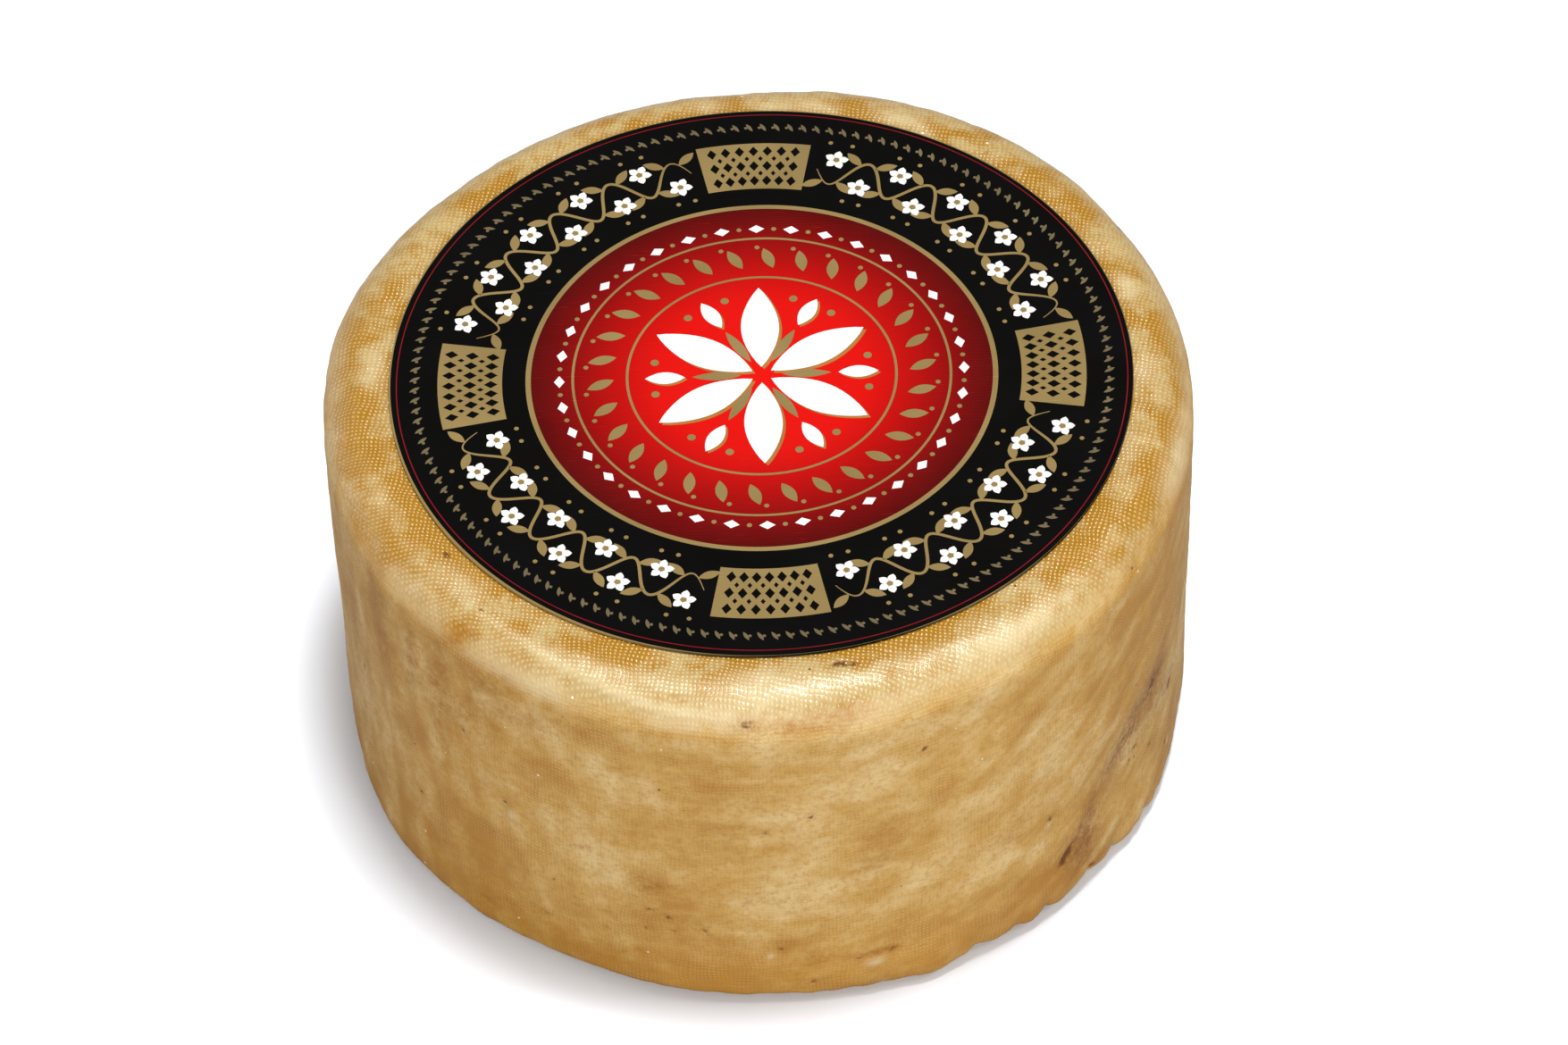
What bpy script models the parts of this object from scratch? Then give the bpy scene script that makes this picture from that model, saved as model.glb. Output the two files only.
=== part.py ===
"""A whole wheel of aged sheep's milk cheese: a drum with a rounded rim, and a round card label on its top.

Metres, +Z up. The wheel stands on the plane Z = 0 with the middle of its outline on the origin, and -Y is its front.
"""

import math

import bmesh
import bpy
from mathutils import Vector, noise

MM = 0.001

# Driving sizes of the wheel
SHOULDER_RADIUS = 98.0 * MM
FOOT_RADIUS = 96.9 * MM
WHEEL_HEIGHT = 101.3 * MM
RIM_ROUND = 10.5 * MM
FOOT_ROUND = 5.0 * MM
TOP_FLAT_RADIUS = 85.6 * MM

# Driving sizes of the card label
LABEL_RADIUS = 83.5 * MM
LABEL_THICKNESS = 0.6 * MM
LABEL_EDGE_BEVEL = 0.3 * MM
LABEL_CENTRE = Vector((0.8 * MM, 1.6 * MM))
RESTING_GAP = 0.3 * MM

# How finely the solids are cut into faces
TURN_STEPS = 144
WALL_ROWS = 13
RIM_ROWS = 6
FOOT_ROWS = 3
LABEL_STEPS = 160

# Uneven places of a hand-turned wheel: (azimuth, height, half-width in degrees, half-height, push outwards).
# Azimuth is in degrees from +X, turning towards +Y, so that -90 is the front.
SWELLS = (
    (56, 97 * MM, 30, 42 * MM, 2.0 * MM),
    (92, 97 * MM, 12, 20 * MM, -0.8 * MM),
    (104, 40 * MM, 22, 30 * MM, 0.7 * MM),
    (129, 94 * MM, 13, 28 * MM, -0.5 * MM),
    (158, 95 * MM, 18, 36 * MM, 1.1 * MM),
    (-168, 34 * MM, 9, 24 * MM, -0.4 * MM),
    (-152, 8 * MM, 15, 24 * MM, 1.3 * MM),
    (-117, 4 * MM, 18, 16 * MM, -0.8 * MM),
    (-32, 38 * MM, 7, 13 * MM, -0.8 * MM),
    (-6, 32 * MM, 13, 26 * MM, -0.7 * MM),
    (128, 12 * MM, 14, 18 * MM, -0.6 * MM),
    (70, 8 * MM, 10, 14 * MM, 0.6 * MM),
)

# Lumps along the foot, where the rind was pressed into the shelf: (azimuth, push outwards)
FOOT_LUMPS = (
    (-11, -0.7 * MM),
    (-24, 1.0 * MM),
    (-31, 1.4 * MM),
    (-39, -0.2 * MM),
    (-51, 0.8 * MM),
    (-61, -0.1 * MM),
    (-70, 2.1 * MM),
    (-81, 0.8 * MM),
)
LUMP_HALF_WIDTH = 4.5
LUMP_HEIGHT = 3.0 * MM
LUMP_HALF_HEIGHT = 9.0 * MM

# The slow wave all round the wheel, and how much of a push outwards also lifts the rim
WAVE_DEPTH = 0.7 * MM
WAVES_ROUND = 1.9
WAVE_LENGTH = 55 * MM
RIM_LIFT_SHARE = 0.4


def bell(distance):
    """1 at the middle of a swell, falling smoothly to 0 about two half-widths away."""
    return math.exp(-distance * distance)


def turn_between(first, second):
    """The smaller angle between two azimuths, in degrees."""
    return abs((first - second + 180) % 360 - 180)


def smooth_step(low, high, value):
    share = min(max((value - low) / (high - low), 0.0), 1.0)
    return share * share * (3 - 2 * share)


def push_out(azimuth, height):
    """How far the rind stands outside the plain drum at that azimuth and height."""
    push = sum(
        depth * bell(turn_between(azimuth, middle) / half_width) * bell((height - level) / half_height)
        for middle, level, half_width, half_height, depth in SWELLS
    )
    push += sum(
        depth * bell(turn_between(azimuth, middle) / LUMP_HALF_WIDTH)
        for middle, depth in FOOT_LUMPS
    ) * bell((height - LUMP_HEIGHT) / LUMP_HALF_HEIGHT)
    angle = math.radians(azimuth)
    round_the_wheel = Vector((math.cos(angle), math.sin(angle), 0)) * WAVES_ROUND
    return push + WAVE_DEPTH * noise.noise(round_the_wheel + Vector((0, 0, height / WAVE_LENGTH)))


def drum_profile():
    """The wheel's outline as (radius, height) from the resting face, round the foot, up the wall and over the rim."""
    points = []
    foot_centre = FOOT_RADIUS - FOOT_ROUND
    for row in range(FOOT_ROWS + 1):
        angle = math.radians(90 * row / FOOT_ROWS)
        points.append((foot_centre + FOOT_ROUND * math.sin(angle), FOOT_ROUND * (1 - math.cos(angle))))
    wall_top = WHEEL_HEIGHT - RIM_ROUND
    for row in range(1, WALL_ROWS):
        share = row / WALL_ROWS
        points.append((
            FOOT_RADIUS + share * (SHOULDER_RADIUS - FOOT_RADIUS),
            FOOT_ROUND + share * (wall_top - FOOT_ROUND),
        ))
    for row in range(RIM_ROWS + 1):
        angle = math.radians(90 * row / RIM_ROWS)
        points.append((
            SHOULDER_RADIUS - RIM_ROUND * (1 - math.cos(angle)),
            wall_top + RIM_ROUND * math.sin(angle),
        ))
    points.append((TOP_FLAT_RADIUS, WHEEL_HEIGHT))
    return points


def plain_material(name, colour, roughness):
    material = bpy.data.materials.new(name)
    material.use_nodes = True
    shader = material.node_tree.nodes["Principled BSDF"]
    shader.inputs["Base Color"].default_value = (*colour, 1.0)
    shader.inputs["Roughness"].default_value = roughness
    shader.inputs["Metallic"].default_value = 0.0
    return material


def object_from(name, mesh_data, material):
    mesh = bpy.data.meshes.new(name)
    mesh_data.to_mesh(mesh)
    mesh_data.free()
    mesh.materials.append(material)
    mesh.shade_smooth()
    mesh.set_sharp_from_angle(angle=math.radians(40))
    made = bpy.data.objects.new(name, mesh)
    bpy.context.scene.collection.objects.link(made)
    return made


def turned_drum():
    """The plain drum: its outline spun about Z, with the resting face and the top filled."""
    drum = bmesh.new()
    corners = [drum.verts.new((radius, 0, height)) for radius, height in drum_profile()]
    edges = [drum.edges.new(pair) for pair in zip(corners, corners[1:])]
    bmesh.ops.spin(
        drum,
        geom=corners + edges,
        cent=(0, 0, 0),
        axis=(0, 0, 1),
        angle=2 * math.pi,
        steps=TURN_STEPS,
        use_merge=True,
    )
    open_edges = [edge for edge in drum.edges if len(edge.link_faces) == 1]
    bmesh.ops.edgeloop_fill(drum, edges=open_edges)
    bmesh.ops.recalc_face_normals(drum, faces=drum.faces)
    return drum


def press_by_hand(drum):
    """Moves the drum's points out and in, and lifts the rim, but leaves the resting face and the label's seat flat."""
    for point in drum.verts:
        radius = math.hypot(point.co.x, point.co.y)
        azimuth = math.degrees(math.atan2(point.co.y, point.co.x))
        push = push_out(azimuth, point.co.z)
        on_the_rim = point.co.z > WHEEL_HEIGHT - RIM_ROUND
        share = smooth_step(TOP_FLAT_RADIUS, SHOULDER_RADIUS - 2 * MM, radius) if on_the_rim else 1.0
        stretch = (radius + push * share) / radius
        lift = max(push, 0.0) * share * RIM_LIFT_SHARE if on_the_rim else 0.0
        point.co = Vector((point.co.x * stretch, point.co.y * stretch, point.co.z + lift))


def middle_on_origin(drum):
    """Slides the drum so that the middle of its outline, seen from above, is on the origin. Returns the slide."""
    slide = Vector((0, 0, 0))
    for axis in (0, 1):
        places = [point.co[axis] for point in drum.verts]
        slide[axis] = -(min(places) + max(places)) / 2
    bmesh.ops.translate(drum, verts=drum.verts, vec=slide)
    return slide


def make_cheese_wheel():
    drum = turned_drum()
    press_by_hand(drum)
    slide = middle_on_origin(drum)
    rind = plain_material("rind", colour=(0.55, 0.34, 0.13), roughness=0.5)
    return object_from("cheese_wheel", drum, rind), slide


def make_label(slide):
    """The card label: a thin disc with a bevelled upper edge, lying on the flat of the top."""
    card = bmesh.new()
    bmesh.ops.create_cone(
        card,
        cap_ends=True,
        segments=LABEL_STEPS,
        radius1=LABEL_RADIUS,
        radius2=LABEL_RADIUS,
        depth=LABEL_THICKNESS,
    )
    upper_edge = [edge for edge in card.edges if min(v.co.z for v in edge.verts) > 0]
    bmesh.ops.bevel(
        card, geom=upper_edge, offset=LABEL_EDGE_BEVEL, segments=2, affect="EDGES", profile=0.5
    )
    printed_card = plain_material("printed_card", colour=(0.015, 0.013, 0.012), roughness=0.45)
    label = object_from("label", card, printed_card)
    label.location = (
        LABEL_CENTRE.x + slide.x,
        LABEL_CENTRE.y + slide.y,
        WHEEL_HEIGHT + RESTING_GAP + LABEL_THICKNESS / 2,
    )
    return label


for leftover in list(bpy.data.objects):
    bpy.data.objects.remove(leftover)
cheese_wheel, wheel_slide = make_cheese_wheel()
make_label(wheel_slide)
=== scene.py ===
"""Dresses a whole wheel of aged sheep's milk cheese, with its oiled rind and the round card label on its top.

The camera comes first, then the pieces in the order in which the real wheel gets them, then floor and lights.
"""

import math

import bmesh
import bpy
import numpy as np
from mathutils import Matrix, Vector, noise
from mathutils.bvhtree import BVHTree


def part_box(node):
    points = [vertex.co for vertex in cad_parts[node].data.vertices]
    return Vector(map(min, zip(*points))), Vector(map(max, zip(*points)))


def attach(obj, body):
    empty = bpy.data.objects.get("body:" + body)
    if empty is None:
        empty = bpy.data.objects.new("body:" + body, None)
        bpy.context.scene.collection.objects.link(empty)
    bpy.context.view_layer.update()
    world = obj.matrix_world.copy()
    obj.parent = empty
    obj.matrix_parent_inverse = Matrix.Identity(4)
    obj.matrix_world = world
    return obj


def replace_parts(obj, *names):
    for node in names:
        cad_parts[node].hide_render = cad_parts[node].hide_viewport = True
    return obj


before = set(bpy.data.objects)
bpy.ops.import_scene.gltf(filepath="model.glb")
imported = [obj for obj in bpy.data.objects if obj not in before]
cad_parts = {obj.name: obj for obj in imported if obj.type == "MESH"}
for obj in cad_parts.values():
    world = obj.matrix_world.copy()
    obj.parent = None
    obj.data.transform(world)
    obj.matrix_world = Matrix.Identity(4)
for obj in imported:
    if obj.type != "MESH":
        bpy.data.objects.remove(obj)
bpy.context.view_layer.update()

MM = 0.001


# The camera stands 1.9 m off and looks down on the front of the wheel. It leans a little to one side, and its
# lens is shifted so that the wheel stands where it does in the photograph.
PHOTO_SIZE = (1755, 1170)
WHEEL_PLACE_IN_PHOTO = (853.4, 597.9)
PIXELS_PER_METRE = 4897
SENSOR_WIDTH = 36.0
CAMERA_DISTANCE = 1.9
CAMERA_ELEVATION = math.radians(48.07)
CAMERA_LEAN = math.radians(2.12)

wheel_low, wheel_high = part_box("cheese_wheel")
wheel_middle = Vector((0, 0, (wheel_low[2] + wheel_high[2]) / 2))
towards_camera = Vector((0, -math.cos(CAMERA_ELEVATION), math.sin(CAMERA_ELEVATION)))
level_right = Vector((1, 0, 0))
level_up = towards_camera.cross(level_right)
camera_right = level_right * math.cos(CAMERA_LEAN) - level_up * math.sin(CAMERA_LEAN)
camera_up = level_right * math.sin(CAMERA_LEAN) + level_up * math.cos(CAMERA_LEAN)

camera = bpy.data.objects.new("camera", bpy.data.cameras.new("camera"))
camera.matrix_world = Matrix.Translation(wheel_middle + towards_camera * CAMERA_DISTANCE) @ Matrix(
    (camera_right, camera_up, towards_camera)
).transposed().to_4x4()
camera.data.sensor_width = SENSOR_WIDTH
camera.data.lens = PIXELS_PER_METRE * CAMERA_DISTANCE / PHOTO_SIZE[0] * SENSOR_WIDTH
camera.data.shift_x = (PHOTO_SIZE[0] / 2 - WHEEL_PLACE_IN_PHOTO[0]) / PHOTO_SIZE[0]
camera.data.shift_y = (WHEEL_PLACE_IN_PHOTO[1] - PHOTO_SIZE[1] / 2) / PHOTO_SIZE[0]
bpy.context.scene.collection.objects.link(camera)
bpy.context.scene.camera = camera


# The curd is pressed in a cloth-lined hoop and turned by hand while it ages: it swells, its foot is scalloped
# where it sat on the shelf, and it is pitted and creased. This skin is laid over the solid's own surface,
# softened where the solid is cut into flat faces, and then given that finer relief.
SHOULDER_RADIUS = 98.0 * MM
FOOT_RADIUS = 96.9 * MM
RIM_ROUND = 10.5 * MM
FOOT_ROUND = 5.0 * MM
WHEEL_HEIGHT = 101.3 * MM
RIM_START = WHEEL_HEIGHT - RIM_ROUND

SKIN_COLUMNS = 720
WALL_ROWS = 84
FOOT_ROWS = 7
RIM_ROWS = 17
UNDERSIDE_RADII = (30 * MM, 60 * MM, 80 * MM, 88 * MM)
TOP_RADII = (86.6 * MM, 85.6 * MM, 84.6 * MM, 83 * MM, 80 * MM, 60 * MM, 30 * MM)


def skin_rows():
    """The skin's rows, foot to top, as (radius, height, tilt): an inner point and the way out from it."""
    foot_middle = FOOT_RADIUS - FOOT_ROUND
    rim_middle = SHOULDER_RADIUS - RIM_ROUND
    rows = [(radius, FOOT_ROUND, -90.0) for radius in UNDERSIDE_RADII]
    rows += [(foot_middle, FOOT_ROUND, tilt) for tilt in np.linspace(-90, 0, FOOT_ROWS)]
    rows += [(rim_middle, height, 0.0) for height in np.linspace(FOOT_ROUND, RIM_START, WALL_ROWS + 2)[1:-1]]
    rows += [(rim_middle, RIM_START, tilt) for tilt in np.linspace(0, 90, RIM_ROWS)]
    rows += [(radius, RIM_START, 90.0) for radius in TOP_RADII]
    return np.array(rows)


def plain_depth(rows):
    """How far each row's inner point lies under the surface of a plain drum."""
    wall_share = (rows[:, 1] - FOOT_ROUND) / (RIM_START - FOOT_ROUND)
    wall_depth = FOOT_RADIUS + wall_share * (SHOULDER_RADIUS - FOOT_RADIUS) - rows[:, 0]
    on_foot = rows[:, 1] <= FOOT_ROUND
    on_rim = rows[:, 1] >= RIM_START
    return np.where(on_foot, FOOT_ROUND, np.where(on_rim, RIM_ROUND, wall_depth))


def softened(grid, reach_round, reach_up):
    """The grid with each value averaged over its neighbours, round the wheel and up its outline."""
    steps = np.arange(-3 * reach_round, 3 * reach_round + 1)
    weights = np.exp(-0.5 * (steps / reach_round) ** 2)
    grid = sum(weight * np.roll(grid, step, axis=1) for step, weight in zip(steps, weights)) / weights.sum()
    steps = np.arange(-3 * reach_up, 3 * reach_up + 1)
    weights = np.exp(-0.5 * (steps / reach_up) ** 2)
    padded = np.pad(grid, ((3 * reach_up, 3 * reach_up), (0, 0)), mode="edge")
    shifted = [padded[start : start + len(grid)] for start in 3 * reach_up + steps]
    return sum(weight * part for weight, part in zip(weights, shifted)) / weights.sum()


rows = skin_rows()
azimuths = np.radians(90 + np.arange(SKIN_COLUMNS) * 360 / SKIN_COLUMNS)
outward = np.stack(
    [
        np.cos(np.radians(rows[:, 2]))[:, None] * np.cos(azimuths),
        np.cos(np.radians(rows[:, 2]))[:, None] * np.sin(azimuths),
        np.sin(np.radians(rows[:, 2]))[:, None] * np.ones(SKIN_COLUMNS),
    ],
    axis=-1,
)
inner = np.stack(
    [
        rows[:, 0][:, None] * np.cos(azimuths),
        rows[:, 0][:, None] * np.sin(azimuths),
        rows[:, 1][:, None] * np.ones(SKIN_COLUMNS),
    ],
    axis=-1,
)
plain = plain_depth(rows)[:, None]
plain_skin = inner + outward * plain[..., None]

wheel_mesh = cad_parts["cheese_wheel"].data
wheel_surface = BVHTree.FromPolygons(
    [corner.co[:] for corner in wheel_mesh.vertices], [face.vertices[:] for face in wheel_mesh.polygons]
)


def surface_distance(point, way):
    """How far the solid's surface lies from that inner point, along the way out from it."""
    return wheel_surface.ray_cast(Vector(point), Vector(way))[3]


surface = np.array(
    [
        [surface_distance(point, way) for point, way in zip(points, ways)]
        for points, ways in zip(inner, outward)
    ]
)
swell = softened(surface - plain, reach_round=4, reach_up=3)

# The finer relief leaves out the underside and the flat under the label
RELIEF_START = 83 * MM
RELIEF_FADE = 3 * MM
heights = plain_skin[..., 2]
beyond_flat = np.clip((rows[:, 0] - RELIEF_START) / RELIEF_FADE, 0, 1)
exposed = np.where(rows[:, 2] > -90, beyond_flat, 0.0)[:, None]
lean = np.clip(rows[:, 2] / 90, 0, 1)[:, None] * np.ones(SKIN_COLUMNS)
degrees_round = (np.degrees(azimuths) + 180) % 360 - 180


def lumps(size, seed, octaves=1, drawn=(1.0, 1.0, 1.0)):
    """Noise over the skin with lumps of about that size. Its mean is about 0, and its spread is 1."""
    away = Vector((seed * 7.3, seed * 3.1, seed * 5.7))
    points = (plain_skin * drawn).reshape(-1, 3) / size
    values = [noise.fractal(Vector(point) + away, 1.0, 2.0, octaves) for point in points]
    return np.array(values).reshape(heights.shape) / np.std(values)


def eased(value, low, high):
    """0 below low and 1 above high, with a soft start and end between them."""
    share = np.clip((value - low) / (high - low), 0, 1)
    return share * share * (3 - 2 * share)


def angle_from(azimuth):
    """How far each column is from that azimuth, in degrees, up to 180 either way."""
    return (degrees_round - azimuth + 180) % 360 - 180


def near(azimuth, reach):
    """1 at that azimuth, fading away over that many degrees to either side."""
    return np.exp(-((angle_from(azimuth) / reach) ** 2))


def oval(azimuth, height, half_length, half_width, turn):
    """A soft oval on the wall, 1 at its middle, in mm. Its length lies level unless it is turned up."""
    across = np.radians(angle_from(azimuth)) * SHOULDER_RADIUS / MM
    up = heights / MM - height
    turned = math.radians(turn)
    along = across * math.cos(turned) + up * math.sin(turned)
    aside = up * math.cos(turned) - across * math.sin(turned)
    return np.exp(-((along / half_length) ** 2) - (aside / half_width) ** 2) * (lean < 0.6)


def patch(azimuth, radius, half_length, half_width):
    """A soft oval on the rim, 1 at its middle, in mm. Its length lies round the wheel."""
    reach = np.hypot(plain_skin[..., 0], plain_skin[..., 1]) / MM
    along = np.radians(angle_from(azimuth)) * radius
    return np.exp(-((along / half_length) ** 2) - ((reach - radius) / half_width) ** 2) * (lean > 0.1)


def painted(places, shape=oval):
    """The sum of soft ovals over the skin, at most 1. Each place is an oval followed by its strength."""
    total = sum(strength * shape(*where) for *where, strength in places)
    return np.clip(total, 0, 1)


# Low hollows and folds of the wall, in mm: (azimuth, height, half-length, half-width, turn, depth)
FOLDS = (
    (-31, 38.5, 12, 6, 24, 0.25), (-44.2, 17, 9, 3.6, 62, 0.30), (-47.4, 17.6, 3.2, 1, 48, 1),
    (-42.4, 3.6, 3.4, 1.3, 8, 1.2), (-61, 63, 9, 1, -18, 0.12), (-75, 13.5, 5, 1.3, 12, 0.35),
    (-20, 62, 9, 2, 38, 0.25), (-141, 82, 12, 1.6, 84, 0.25), (-147, 70, 14, 1.4, 96, 0.22),
    (-106, 30, 6, 0.9, -22, 0.25), (140, 50, 10, 2.2, 35, 0.4), (63, 66, 9, 1.8, -30, 0.35),
    (101, 24, 7, 2, 15, 0.45),
)
# Hard white grains just under the rind, in mm: (azimuth, height, half-length, half-width, turn, rise)
NODULES = (
    (-77, 11.2, 2, 1.2, 10, 0.55), (-126.5, 47.6, 1.4, 1.4, 0, 0.6), (-50.9, 34, 0.9, 0.9, 0, 0.35),
    (-20.1, 12.5, 1.2, 0.8, 0, 0.3), (-76, 4, 1, 0.8, 0, 0.3), (-91, 17, 0.8, 0.8, 0, 0.25),
    (118, 61, 1.6, 1.4, 0, 0.5), (37, 33, 1.5, 1.3, 0, 0.45), (162, 46, 1.5, 1.1, 0, 0.4),
)
# Small holes in the wall, in mm: (azimuth, height, half-length, half-width, turn, strength)
PITS = (
    (-127.6, 50.4, 1.5, 1.2, 0, 1), (-143.9, 32, 1.2, 1.2, 0, 1), (-134, 67.3, 1.3, 1.1, 0, 1),
    (-92.9, 96, 2.1, 1.4, 0, 1), (-85.1, 65.4, 1.4, 1.2, 30, 1), (-91.1, 61, 1.5, 1.1, 40, 1),
    (-70, 80.6, 1.8, 1.1, 50, 1), (-50.6, 35.6, 1.5, 1.1, 60, 1), (-17.9, 27.8, 1.2, 1, 0, 1),
    (-26.4, 43.4, 2.2, 1.5, 70, 1.3), (-24, 42, 1.3, 1.2, 60, 1), (-19.4, 30.6, 2.4, 1.4, 70, 1.2),
    (-20.9, 13.4, 1.4, 1.2, 0, 1), (-26.8, 23, 1.3, 1.2, 0, 1), (-31, 29, 1.5, 1.2, 0, 1),
    (-32.8, 26.8, 1.5, 1.2, 0, 0.9), (-160, 48.3, 1.4, 1.3, 0, 1), (-106.8, 30.4, 1.9, 0.9, -20, 1),
    (-104.4, 28.6, 1.3, 1, 0, 1), (-107.5, 23.6, 1.3, 0.9, 0, 1), (-103.6, 23.8, 1.6, 0.8, 0, 1),
    (-99.6, 25.4, 1.1, 1, 0, 1), (-120.6, 30.8, 1.1, 1, 0, 1), (-74.6, 13.6, 1.6, 1, 0, 1),
    (-79.2, 13.2, 1.4, 0.9, 0, 1), (-89.7, 19.3, 1.5, 1.3, 0, 1), (-85.4, 7.3, 1.4, 1, 0, 1),
    (-47.4, 17.7, 3.4, 1.6, 52, 1.6), (-42.2, 3.6, 3.4, 1.6, 10, 1.6), (30, 41, 1.4, 1.2, 0, 1),
    (36.5, 62, 1.5, 1.1, 30, 1), (58, 17, 1.5, 1.1, 0, 1), (82, 71, 1.6, 1.2, 0, 1),
    (88, 69, 1.2, 1, 0, 1), (112, 34, 1.5, 1.2, 0, 1), (131, 78, 1.4, 1.2, 0, 1), (149, 22, 1.6, 1, 0, 1),
    (170, 63, 1.4, 1.2, 0, 1), (6, 55, 1.4, 1.1, 0, 1), (12, 22, 1.5, 1.2, 0, 1),
    (-168, 38, 1.3, 1.1, 0, 1),
)
# Where the wall is stained brown, and where it is bruised to a purplish brown, in mm and in the same order
STAINS = (
    (-44.2, 20.5, 8.5, 4.4, 62, 1), (-44, 12, 4, 4.6, 60, 0.6), (-45.6, 8, 5, 2, 30, 0.5),
    (-42, 4.5, 6, 1.8, 25, 1), (-38, 9, 7, 1.6, 40, 0.5), (-49.5, 20, 9, 3, 60, 0.35),
    (-106.6, 39.4, 5, 3, 0, 1), (-105.3, 29, 8, 4, -16, 0.35), (-77, 14.4, 6, 2.2, 0, 0.8),
    (-77, 4.2, 6, 2, 0, 0.8), (-85.4, 15.9, 4, 1.8, 0, 0.5), (-85.6, 6.8, 5, 2, 0, 0.6),
    (-75.4, 56, 5, 4, 20, 0.5), (-76, 47, 5, 3.4, 0, 0.6), (-96.2, 62.2, 9, 2, 0, 0.5),
    (-99, 58.4, 7, 1.4, 0, 0.4), (-94, 71, 8, 2.6, 0, 0.25), (-89.8, 36.5, 10, 1.2, 0, 0.3),
    (-94.8, 21.3, 12, 1.3, 0, 0.35), (-81.2, 96.4, 6, 2.4, 8, 1), (-86.8, 95.6, 6, 1.6, 0, 0.8),
    (-92.9, 96.2, 3.4, 2.4, 0, 0.5), (-134.2, 97.2, 6, 2.6, 50, 1), (-129.2, 88, 9, 5, 60, 0.8),
    (-138.2, 76, 17, 3.6, 88, 0.95), (-143.7, 80, 15, 3, 84, 0.8), (-132, 76, 9, 5, 60, 0.6),
    (-150, 74, 20, 3.2, 92, 0.6), (-158, 50, 18, 3, 86, 0.4), (-122, 84, 10, 3, 10, 0.4),
    (-129.7, 13, 14, 5, 10, 0.45), (-140, 24, 14, 6, -12, 0.35), (-118, 8, 12, 3, 0, 0.4),
    (-57.3, 39.9, 9, 7, 15, 0.3), (-28, 70, 18, 3, 24, 0.3), (-22.5, 37, 4, 3, 60, 0.5),
    (122, 40, 14, 4, 12, 0.5), (76, 22, 12, 3.4, -8, 0.5), (30, 58, 16, 3.6, 18, 0.45),
    (160, 24, 10, 4.4, 0, 0.45), (95, 66, 9, 6, 0, 0.35), (8, 38, 10, 4, 12, 0.4), (52, 88, 7, 3, 0, 0.4),
)
BRUISES = (
    (-29.6, 39.3, 12, 7, 34, 1), (-26, 44, 9, 4, 44, 0.6), (-36.5, 35, 9, 4, 30, 0.6),
    (-43.4, 24, 6, 1.8, 66, 1), (-44.4, 19, 6.8, 4.2, 64, 1.2), (-43.8, 13.5, 4, 4, 60, 0.7),
    (-21, 33, 7, 4, 20, 0.5), (-152, 78, 22, 4, 90, 0.35), (-163, 62, 24, 5, 88, 0.35),
    (-169, 50, 30, 4, 90, 0.3), (140, 50, 12, 4, 35, 0.6), (174, 70, 16, 5, 80, 0.4),
)
# Deep golden patches of the rim, in mm: (azimuth, radius, half-length, half-width, strength)
HONEY_PATCHES = (
    (42.9, 91.7, 3, 2, 0.9), (37.7, 91.5, 4, 2, 0.5), (34, 90.9, 4.5, 2.6, 1), (26.6, 88.6, 3, 1.8, 0.6),
    (21.5, 89.3, 4, 2, 0.45), (18.3, 91.8, 4, 2, 0.45), (11.7, 86.6, 2.5, 1.6, 0.4),
    (9.5, 92.3, 5, 2.4, 0.5), (4.2, 91.4, 5, 2.4, 0.85), (2, 94.2, 5, 2, 0.8), (-2.9, 94.8, 4, 1.8, 0.6),
    (-5.9, 87.9, 3.5, 1.8, 0.8), (-9.4, 92.5, 3.5, 2, 0.7), (-11.3, 93.6, 5, 1.8, 0.9),
    (-19, 89, 3, 1.8, 0.9), (-20.1, 93.5, 7, 1.4, 0.8), (-23.8, 92.6, 6, 1.5, 0.9),
    (-32.6, 86.7, 5, 2.6, 1), (-29.5, 85, 3, 2.4, 0.9), (-36.5, 87.7, 6, 2.4, 0.8),
    (-27.5, 91.4, 6, 3, 0.4), (-42, 88.7, 8, 2.2, 0.35), (-35.4, 92.9, 6, 1.6, 0.4),
    (-51, 90.6, 9, 1.8, 0.35), (-76.5, 86.6, 4.6, 1.5, 1), (-80.2, 95.6, 5, 1.3, 0.8),
    (-85, 96.4, 5, 1.2, 0.8), (-95.8, 87.8, 4, 1.6, 0.9), (-97.5, 91.5, 3.4, 1.6, 0.7),
    (-111, 85.6, 7, 2.2, 0.6), (-117, 86.2, 7, 1.8, 0.6), (-127.5, 88.9, 3.5, 2, 0.8),
    (-125, 94.4, 4, 1.6, 0.4), (-133.9, 94.8, 4, 2, 1), (-150, 84.6, 14, 1.4, 0.8),
    (-150.9, 93.1, 4, 1.6, 0.8), (-154, 95.2, 5, 1.6, 1), (-157.7, 96.5, 7, 1.3, 0.8),
    (-159.5, 84.6, 8, 2, 1), (-169, 88.3, 3.5, 1.8, 1), (-172.8, 91.2, 5, 2.2, 0.8),
    (-170.1, 94.4, 5, 1.6, 0.8), (-178.3, 88.4, 5, 2.2, 0.5), (171.5, 92.1, 8, 2, 0.4),
    (158, 88.5, 6, 2.4, 0.6), (136.5, 89, 3, 2, 0.9), (134, 86.4, 3, 1.8, 0.8),
    (129.4, 87.4, 3, 1.6, 0.8), (110.8, 90.2, 3, 2, 0.8), (114.2, 90.1, 3, 2, 0.7),
    (92.2, 89.1, 3, 2.2, 0.8), (93.8, 86.6, 2.5, 1.6, 0.7), (74.5, 89.5, 4, 2.6, 0.9),
    (59.7, 89, 4, 2.2, 0.8), (56, 90.8, 3.6, 2, 0.8), (54.1, 94.2, 3, 1.6, 0.9),
)
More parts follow.
